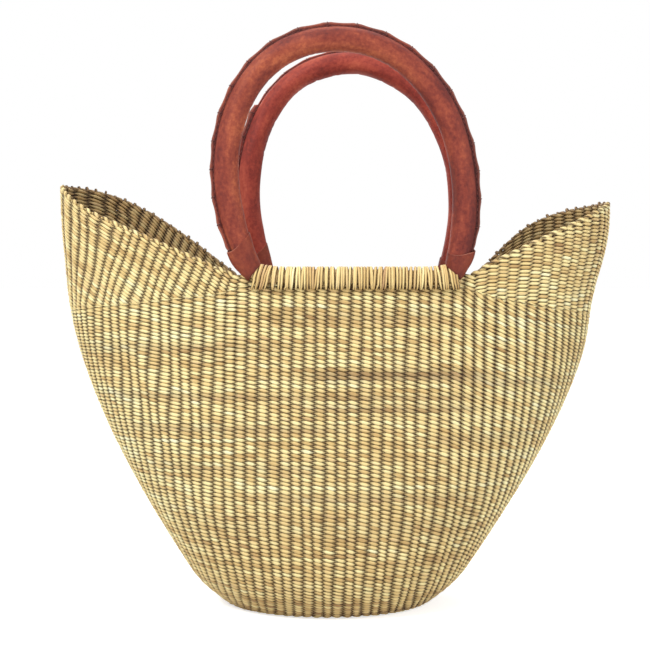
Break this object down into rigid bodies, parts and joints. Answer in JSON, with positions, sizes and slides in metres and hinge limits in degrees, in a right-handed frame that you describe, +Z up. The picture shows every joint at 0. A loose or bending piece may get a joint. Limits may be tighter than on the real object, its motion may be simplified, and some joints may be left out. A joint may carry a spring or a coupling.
{
  "type": "woven straw shopper basket",
  "caption": "Woven straw shopper basket with a rounded base, raised wing ends and leather-wrapped arched handles lashed to the rim and free to swing.",
  "frame": {"origin": "on the floor, under the middle of the basket's overall box", "axes": "+Z up, +X along the width towards the lower right wing, -Y towards the front side seen in the picture"},
  "size_m": [0.4602, 0.184, 0.4732],
  "materials": {
    "straw": "satin woven straw, honey tan with darker bands",
    "rim_straw": "satin straw, folded stake ends",
    "cord": "satin twisted straw cord",
    "rope": "matt straw bundle",
    "front_leather": "satin, mottled red-brown",
    "back_leather": "satin, darker red-brown",
    "collar_leather": "satin, red-brown with paler edges"
  },
  "bodies": {
    "basket": {"woven_base": "straw", "woven_wall": "straw", "left_wing": "straw", "right_wing": "straw", "left_rim_edge": "rim_straw", "right_rim_edge": "rim_straw", "front_bar_core": "rope", "back_bar_core": "rope", "front_bar_lashing": "cord", "back_bar_lashing": "cord"},
    "front_handle": {"front_handle_core": "rope", "front_handle_leather": "front_leather", "front_left_collar": "collar_leather", "front_right_collar": "collar_leather"},
    "back_handle": {"back_handle_core": "rope", "back_handle_leather": "back_leather", "back_left_collar": "collar_leather", "back_right_collar": "collar_leather"}
  },
  "joints": [
    {"name": "front_handle_swing", "type": "hinge", "parent": "basket", "child": "front_handle", "pos_m": [0.0155, -0.07275, 0.273], "axis": [1, 0, 0], "range_deg": [-19, 60]},
    {"name": "back_handle_swing", "type": "hinge", "parent": "basket", "child": "back_handle", "pos_m": [0.0185, 0.07275, 0.266], "axis": [-1, 0, 0], "range_deg": [-19, 60]}
  ]
}
